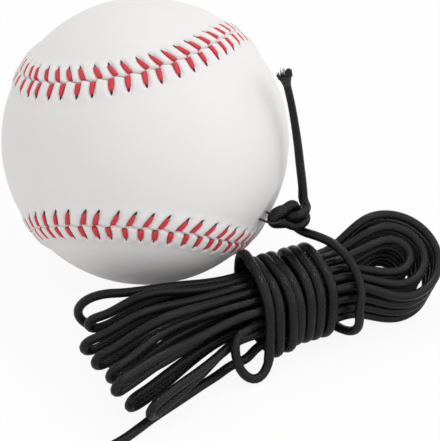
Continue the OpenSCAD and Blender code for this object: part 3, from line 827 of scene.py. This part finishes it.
def panelLayers(side, fold):  # outer band and sheet, cut edge, inner band and sheet
    stitches, inner = seam["stitches"], seam["innerRadius"]
    d = np.array(seam["rows"])
    counts, depths = np.meshgrid(np.linspace(0, stitches, stitches * seam["perStitch"] + 1), d)
    band = seamPlace(counts, side * (seam["gap"] / 2 + depths) + sawEdge(counts, depths))
    bandHigh = ballRadius + leatherHeight(side, counts, depths)
    bandUv = np.stack([stitchCount(side, counts, depths), depths / seam["uvDepth"]], -1)
    rimHigh = np.stack([np.full(len(band[0]), inner), bandHigh[0]])
    half = stitches // 2
    start = fold / 360 * stitches
    edge = np.linspace(start, start + half, half * seam["perStitch"] + 1)
    last = np.full(len(edge), side * (seam["gap"] / 2 + d[-1]))
    near, far = seamPlace(edge, last), seamPlace(2 * start - edge, last)
    share = np.linspace(0, 1, seam["across"] + 1)[:, None, None]
    sheet = unit((1 - share) * near[None] + share * far[None])
    sheetHigh = ballRadius + leatherHeight(side, np.zeros(1), d[-1:])[0]
    return [
        (band, bandHigh, bandUv), plainLayer(sheet, sheetHigh),
        plainLayer(np.stack([band[0], band[0]]), rimHigh),
        plainLayer(band, inner), plainLayer(sheet, inner),
    ]


def makePanel(name, side, fold):  # fold: where the seam is mirrored onto the panel's other edge, in degrees
    points, uvs, faces, total = [], [], [], 0
    for directions, radii, uv in panelLayers(side, fold):
        rows, cols = radii.shape
        points.append(onBall(directions, radii).reshape(-1, 3))
        uvs.append(uv.reshape(-1, 2))
        faces.append(gridFaces(rows, cols, total))
        total += rows * cols
    piece = newPiece(name, np.concatenate(points), np.concatenate(faces), np.concatenate(uvs))
    tidyMesh(piece, seam["merge"])
    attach(piece, "ball")
    return piece


panelA = makePanel("leatherPanelA", -1, -45)
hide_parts("cover_panel_a")
panelB = makePanel("leatherPanelB", 1, 45)
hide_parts("cover_panel_b")
print("leather panels sewn:", len(panelA.data.polygons), "and", len(panelB.data.polygons), "faces")


# Stitches: one leg modelled, then laid along both rows

stitch = {
    "width": 1.42, "thick": 0.66, "from": 0.02, "to": 4.0, "sides": 8, "square": 0.75,
    "cuts": (0.06, 0.22, 0.42, 0.6, 0.76, 0.9),
    "narrow": 0.2, "narrowSpan": (0.4, 0.75), "taper": 0.45, "taperSpan": (0.72, 1.0),
    "sink": 0.75, "sinkSpan": (0.66, 1.0), "blunt": 0.22, "bluntSpan": (0.0, 0.06),
    "reachVary": (-0.2, 0.15), "widthVary": (0.9, 1.05), "slant": 0.1, "seeds": {-1: 7, 1: 11},
}


def modelLeg():
    deselectAll()
    bpy.ops.mesh.primitive_cylinder_add(vertices=stitch["sides"], radius=0.5, depth=1,
                                        rotation=(0, math.pi / 2, 0))
    leg = bpy.context.object
    bpy.ops.object.transform_apply(rotation=True)
    bpy.ops.object.mode_set(mode="EDIT")
    for cut in stitch["cuts"]:
        bpy.ops.mesh.select_all(action="SELECT")
        bpy.ops.mesh.bisect(plane_co=(cut - 0.5, 0, 0), plane_no=(1, 0, 0))
    bpy.ops.object.mode_set(mode="OBJECT")
    layer = leg.data.uv_layers.active
    for loop in leg.data.loops:
        place = leg.data.vertices[loop.vertex_index].co
        layer.data[loop.index].uv = (place.x + 0.5, place.y + 0.5)
    return leg


def legShape(leg):
    co = np.zeros(len(leg.data.vertices) * 3, np.float32)
    leg.data.vertices.foreach_get("co", co)
    x, y, z = co.reshape(-1, 3).T.astype(float)
    k = x + 0.5  # from the seam to the needle hole
    y, z = (np.sign(v) * np.abs(2 * v) ** stitch["square"] / 2 for v in (y, z))
    narrow = stitch["narrow"] * smoothStep(*stitch["narrowSpan"], k)
    taper = stitch["taper"] * smoothStep(*stitch["taperSpan"], k)
    sink = stitch["sink"] * smoothStep(*stitch["sinkSpan"], k) ** 2
    blunt = stitch["blunt"] * (1 - smoothStep(*stitch["bluntSpan"], k))
    return k, y * stitch["width"] * (1 - narrow - taper), stitch["thick"] * (0.5 + z) - sink - blunt


def makeStitchRow(name, side, leg):
    k, across, lift = legShape(leg)
    rng = random.Random(stitch["seeds"][side])
    copies = []
    for i in range(seam["stitches"]):
        reach = stitch["to"] + rng.uniform(*stitch["reachVary"])
        d = stitch["from"] + k * (reach - stitch["from"])
        count = np.full(len(k), i + 0.5 + seam["rowShift"][side] + jitters[side][i])
        trail = -(d - seam["inner"]) * stitchLean(side, count)
        along = trail + across * rng.uniform(*stitch["widthVary"]) + eitherWay(rng, stitch["slant"]) * k
        directions = seamPlace(count, side * (seam["gap"] / 2 + d) + sawEdge(count, d), along)
        copy = leg.copy()
        copy.data = leg.data.copy()
        copy.data.vertices.foreach_set("co", onBall(directions, ballRadius + lift).astype(np.float32).ravel())
        scene.collection.objects.link(copy)
        copies.append(copy)
    deselectAll()
    for copy in copies:
        copy.select_set(True)
    bpy.context.view_layer.objects.active = copies[0]
    bpy.ops.object.join()
    row = bpy.context.object
    row.name = name
    faceOutward(row)
    row.data.shade_smooth()
    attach(row, "ball")
    return row


legModel = modelLeg()
stitchRowA = makeStitchRow("stitchRowA", -1, legModel)
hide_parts("stitch_row_a")
stitchRowB = makeStitchRow("stitchRowB", 1, legModel)
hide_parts("stitch_row_b")
bpy.data.objects.remove(legModel)
print("stitches laid:", 2 * seam["stitches"])


# Materials. A noise has its scale and detail, a relief its height in metres and its strength

noiseSpan = (0.3, 0.7)  # where most of a noise lies

leather = {
    "tones": ((0.825, 0.805, 0.798, 1), (0.875, 0.856, 0.85, 1)), "toneNoise": (60, 4),
    "creaseShade": (0.5, 0.48, 0.46, 1), "creaseShadeWide": 0.12, "creaseShadeShare": 0.6,  # painted shade in the seam's crease, along the panel's cut edge
    # the needle slits' dark colour is painted shade in the holes the thread goes down into
    "slitShade": (0.035, 0.026, 0.026, 1), "slitFrom": (3.3, 3.5), "slitTo": (4.2, 4.6), "slitEdge": (-0.08, 0.1),
    "slitHalf": (0.34, 0.14), "slitNarrows": (3.5, 4.5),  # painted shade in the needle slits, which narrow away from the seam
    "grain": 1900, "poreNoise": (5200, 2), "poreShare": 0.5, "relief": (0.00005, 0.35),
    "rough": (0.42, 0.55), "roughNoise": (350, 3), "specular": 0.35,
}


def leatherMaterial():
    s = Shader("whiteLeather")
    place = s.coordinates()
    count, deep = s.uvParts()
    d = s.math("MULTIPLY", deep, seam["uvDepth"])
    off = s.math("MULTIPLY", s.math("ABSOLUTE", s.math("SUBTRACT", s.math("FRACT", count), 0.5)), stitchPitch)
    # the needle slits are painted dark: painted shade where the thread goes down into the leather
    halfWide = s.mapped(d, *leather["slitNarrows"], *leather["slitHalf"])
    slitWide = s.mapped(s.math("SUBTRACT", off, halfWide), *leather["slitEdge"], 1, 0)
    slitLong = s.math("MULTIPLY", s.mapped(d, *leather["slitFrom"], 0, 1),
                      s.mapped(d, *leather["slitTo"], 1, 0))
    slitShade = s.math("MULTIPLY", slitWide, slitLong)
    tone = s.mix(s.noise(place, *leather["toneNoise"]), *leather["tones"])
    # painted shade: the leather is greyed in the seam's crease, where the two panels meet
    creaseShade = s.mapped(d, 0, leather["creaseShadeWide"], leather["creaseShadeShare"], 0)
    colour = s.mix(slitShade, s.mix(creaseShade, tone, leather["creaseShade"]), leather["slitShade"])
    pores = s.math("MULTIPLY", s.noise(place, *leather["poreNoise"]), leather["poreShare"])
    height = s.math("ADD", s.cells(place, leather["grain"]), pores)
    rough = s.mapped(s.noise(place, *leather["roughNoise"]), *noiseSpan, *leather["rough"])
    return s.finish(colour, rough, s.bump(height, *leather["relief"]), leather["specular"])


thread = {
    "twists": 5, "relief": (0.00005, 0.5), "rough": 0.5, "specular": 0.35,
    "reds": ((0.62, 0.03, 0.045, 1), (0.73, 0.056, 0.075, 1)), "noise": (420, 2),
    # edge: painted shade along both sides of each leg, where it rounds down into its groove
    "edge": (0.42, 0.012, 0.025, 1), "sideShadeSpan": (0.25, 0.5), "sideShadeShare": 0.55,
    "shade": (0.05, 0.008, 0.01, 1), "shadeSpan": (0.76, 0.95),  # where it goes down into the hole
}


def threadMaterial():
    s = Shader("redThread")
    along, across = s.uvParts()
    twist = s.math("ADD", s.math("MULTIPLY", along, thread["twists"]), across)
    height = s.math("SINE", s.math("MULTIPLY", twist, 2 * math.pi))
    shade = s.mapped(along, *thread["shadeSpan"], 0, 1)
    # painted shade: each leg is coloured darker towards its two sides
    off = s.math("ABSOLUTE", s.math("SUBTRACT", across, 0.5))
    edge = s.mapped(off, *thread["sideShadeSpan"], 0, thread["sideShadeShare"])
    red = s.mix(s.noise(s.coordinates(), *thread["noise"]), *thread["reds"])
    colour = s.mix(shade, s.mix(edge, red, thread["edge"]), thread["shade"])
    return s.finish(colour, thread["rough"], s.bump(height, *thread["relief"]), thread["specular"])


braid = {
    "around": 12, "along": 5,  # yarns round the cord, and in the length of one girth
    # tones run from the crevices between the yarns to the yarn tops: painted shade in the crevices, with a
    # random fuzz on top
    "tones": ((0.0004, 0.0004, 0.0005, 1), (0.017, 0.017, 0.018, 1)), "shadeAndFuzzSpan": (0.55, 1.45),
    "fuzz": 0.6, "noise": (900, 3), "relief": (0.00004, 0.8), "rough": 0.22, "specular": 0.2,
}


def braidMaterial():
    s = Shader("blackBraid")
    turn, run = s.uvParts()
    around, along = s.math("MULTIPLY", turn, braid["around"]), s.math("MULTIPLY", run, braid["along"])
    first, second = s.math("ADD", around, along), s.math("SUBTRACT", around, along)
    ridgeA, ridgeB = (s.math("ABSOLUTE", s.math("SINE", s.math("MULTIPLY", lean, math.pi)))
                      for lean in (first, second))
    over = s.math("PINGPONG", s.math("ADD", s.math("FLOOR", first), s.math("FLOOR", second)), 1)
    height = s.math("ADD", s.math("MULTIPLY", ridgeA, over),
                    s.math("MULTIPLY", ridgeB, s.math("SUBTRACT", 1, over)))
    fuzz = s.math("MULTIPLY", s.noise(s.coordinates(), *braid["noise"]), braid["fuzz"])
    # painted shade: the braid's crevices are coloured darker than its yarn tops
    tone = s.mapped(s.math("ADD", height, fuzz), *braid["shadeAndFuzzSpan"], 0, 1)
    colour = s.mix(tone, *braid["tones"])
    return s.finish(colour, braid["rough"], s.bump(height, *braid["relief"]), braid["specular"])


yarn = {
    "black": ((0.003, 0.003, 0.0033, 1), (0.03, 0.03, 0.032, 1)),
    "pale": ((0.34, 0.32, 0.29, 1), (0.55, 0.53, 0.49, 1)),
    "noise": (2600, 3), "rough": 0.7, "relief": (0.0001, 0.6),
}


def frayMaterial():
    s = Shader("frayedYarn")
    kind = s.uvParts()[0]
    fuzz = s.noise(s.coordinates(), *yarn["noise"])
    colour = s.mix(kind, s.mix(fuzz, *yarn["black"]), s.mix(fuzz, *yarn["pale"]))
    return s.finish(colour, yarn["rough"], s.bump(fuzz, *yarn["relief"]))


melted = {
    "tones": ((0.006, 0.006, 0.0065, 1), (0.022, 0.022, 0.023, 1)),
    "noise": (700, 3), "rough": (0.22, 0.42), "relief": (0.0003, 0.5),
}


def sealedMaterial():
    s = Shader("meltedNylon")
    flow = s.noise(s.coordinates(), *melted["noise"])
    rough = s.mapped(flow, *noiseSpan, *melted["rough"])
    return s.finish(s.mix(flow, *melted["tones"]), rough, s.bump(flow, *melted["relief"]))


wound = {
    "tilts": ((0.5, 0.2, 0), (-0.6, 0.9, 1.2)), "distortion": 1.5, "noise": (3000, 3),
    "rough": 0.9, "relief": (0.0004, 0.8), "specular": 0.15,
    "looks": {  # by node: the material, its dark and light tone, and its turns to the metre
        "wool_winding_inner": ("greyWool", (0.12, 0.12, 0.12, 1), (0.42, 0.41, 0.4, 1), 260),
        "wool_winding_outer": ("whiteWool", (0.4, 0.39, 0.36, 1), (0.8, 0.79, 0.75, 1), 260),
        "yarn_finish_winding": ("cottonYarn", (0.5, 0.49, 0.46, 1), (0.85, 0.84, 0.8, 1), 420),
    },
}


def woundMaterial(name, dark, light, turnsPerMetre):
    s = Shader(name)
    place = s.coordinates()
    bands = []
    for tilt in wound["tilts"]:
        turn = s.node("ShaderNodeMapping", vector_type="TEXTURE")
        s.link(place, turn.inputs["Vector"])
        turn.inputs["Rotation"].default_value = tilt
        wave = s.node("ShaderNodeTexWave")
        s.link(turn.outputs[0], wave.inputs["Vector"])
        wave.inputs["Scale"].default_value = turnsPerMetre
        wave.inputs["Distortion"].default_value = wound["distortion"]
        bands.append(wave.outputs["Fac"])
    crossings = s.math("MAXIMUM", *bands)
    fuzz = s.noise(place, *wound["noise"])
    colour = s.mix(s.math("MULTIPLY", crossings, fuzz), dark, light)
    return s.finish(colour, wound["rough"], s.bump(crossings, *wound["relief"]), wound["specular"])


speckled = {
    "mottleScale": 0.6, "mottleDetail": 4, "mottleShare": 2, "roughVary": 0.1, "strength": 0.6,
    "looks": {  # by nodes: the material, its dark and light tone, its grains, roughness and relief
        ("cork_core",):
            ("corkCore", (0.2, 0.1, 0.045, 1), (0.5, 0.31, 0.17, 1), 900, 0.8, 0.0004),
        ("rubber_shell_lower", "rubber_shell_upper"):
            ("redRubber", (0.2, 0.02, 0.018, 1), (0.36, 0.05, 0.04, 1), 2500, 0.6, 0.0001),
        ("anchor_loop",):
            ("anchorThread", (0.004, 0.004, 0.004, 1), (0.03, 0.03, 0.031, 1), 4000, 0.6, 0.0001),
        ("anchor_toggle",):
            ("nylonToggle", (0.55, 0.53, 0.48, 1), (0.75, 0.73, 0.68, 1), 1500, 0.35, 0.00005),
    },
}


def speckledMaterial(name, dark, light, scale, rough, relief):
    s = Shader(name)
    place = s.coordinates()
    grain = s.cells(place, scale)
    mottle = s.noise(place, scale * speckled["mottleScale"], speckled["mottleDetail"])
    tone = s.math("MULTIPLY", grain, s.math("MULTIPLY", mottle, speckled["mottleShare"]))
    roughness = s.mapped(mottle, *noiseSpan, rough - speckled["roughVary"], rough + speckled["roughVary"])
    return s.finish(s.mix(tone, dark, light), roughness, s.bump(grain, relief, speckled["strength"]))


def giveFinish(material, *pieces):
    for piece in pieces:
        piece.data.materials.clear()
        piece.data.materials.append(material)


giveFinish(leatherMaterial(), panelA, panelB)
giveFinish(threadMaterial(), stitchRowA, stitchRowB)
giveFinish(braidMaterial(), tetherCord, tieCord)
giveFinish(frayMaterial(), frayedTip)
giveFinish(sealedMaterial(), sealedEnd)
for name, look in wound["looks"].items():
    giveFinish(woundMaterial(*look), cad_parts[name])
for names, look in speckled["looks"].items():
    giveFinish(speckledMaterial(*look), *(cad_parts[name] for name in names))
print("materials made")


# Stage: floor, light and background

studio = {
    "floorSize": 3, "floorTone": (0.92, 0.92, 0.92, 1), "floorRough": 0.9, "floorSpecular": 0.1,
    "floorGlow": 0.9,  # how much of the floor the camera sees as plain white
    "worldLight": 0.72, "aim": (0.03, -0.03, 0.02),
    "lamps": {  # place, size and power
        "keyLight": ((0.6, -0.25, 0.7), 1.1, 2.8),
        "topLight": ((0.1, 0.3, 0.9), 0.12, 1),  # small, so that each turn of cord has a bright line
    },
}


def addFloor():
    deselectAll()
    bpy.ops.mesh.primitive_plane_add(size=studio["floorSize"], location=(0, 0, 0))
    floor = bpy.context.object
    floor.name = "floor"
    s = Shader("paleFloor")
    s.finish(studio["floorTone"], studio["floorRough"], specular=studio["floorSpecular"])
    path = s.node("ShaderNodeLightPath")
    white = s.node("ShaderNodeEmission")
    seen = s.math("MULTIPLY", path.outputs["Is Camera Ray"], studio["floorGlow"])
    blend = s.node("ShaderNodeMixShader")
    s.link(seen, blend.inputs[0])
    s.link(s.surface.outputs[0], blend.inputs[1])
    s.link(white.outputs[0], blend.inputs[2])
    s.link(blend.outputs[0], s.tree.nodes["Material Output"].inputs["Surface"])
    floor.data.materials.append(s.owner)


def addWorld():  # plain white to the camera and in reflections, softer as light
    s = Shader("studio", world=True)
    scene.world = s.owner
    rays = s.node("ShaderNodeLightPath").outputs
    seen = rays["Is Camera Ray"]
    for name in ("Is Glossy Ray", "Is Transmission Ray"):
        seen = s.math("MAXIMUM", seen, rays[name])
    s.put(s.surface.inputs["Color"], (1, 1, 1, 1))
    s.put(s.surface.inputs["Strength"], s.mapped(seen, 0, 1, studio["worldLight"], 1))


def addLamps():
    for name, (place, size, power) in studio["lamps"].items():
        bpy.ops.object.light_add(type="AREA", location=place)
        lamp = bpy.context.object
        lamp.name = name
        lamp.data.size = size
        lamp.data.energy = power
        aim = np.array(studio["aim"]) - np.array(place)
        lamp.rotation_euler = (math.atan2(math.hypot(aim[0], aim[1]), -aim[2]), 0,
                               math.atan2(aim[1], aim[0]) - math.pi / 2)


addFloor()
addWorld()
addLamps()
scene.view_settings.view_transform = "Standard"
print("stage set")
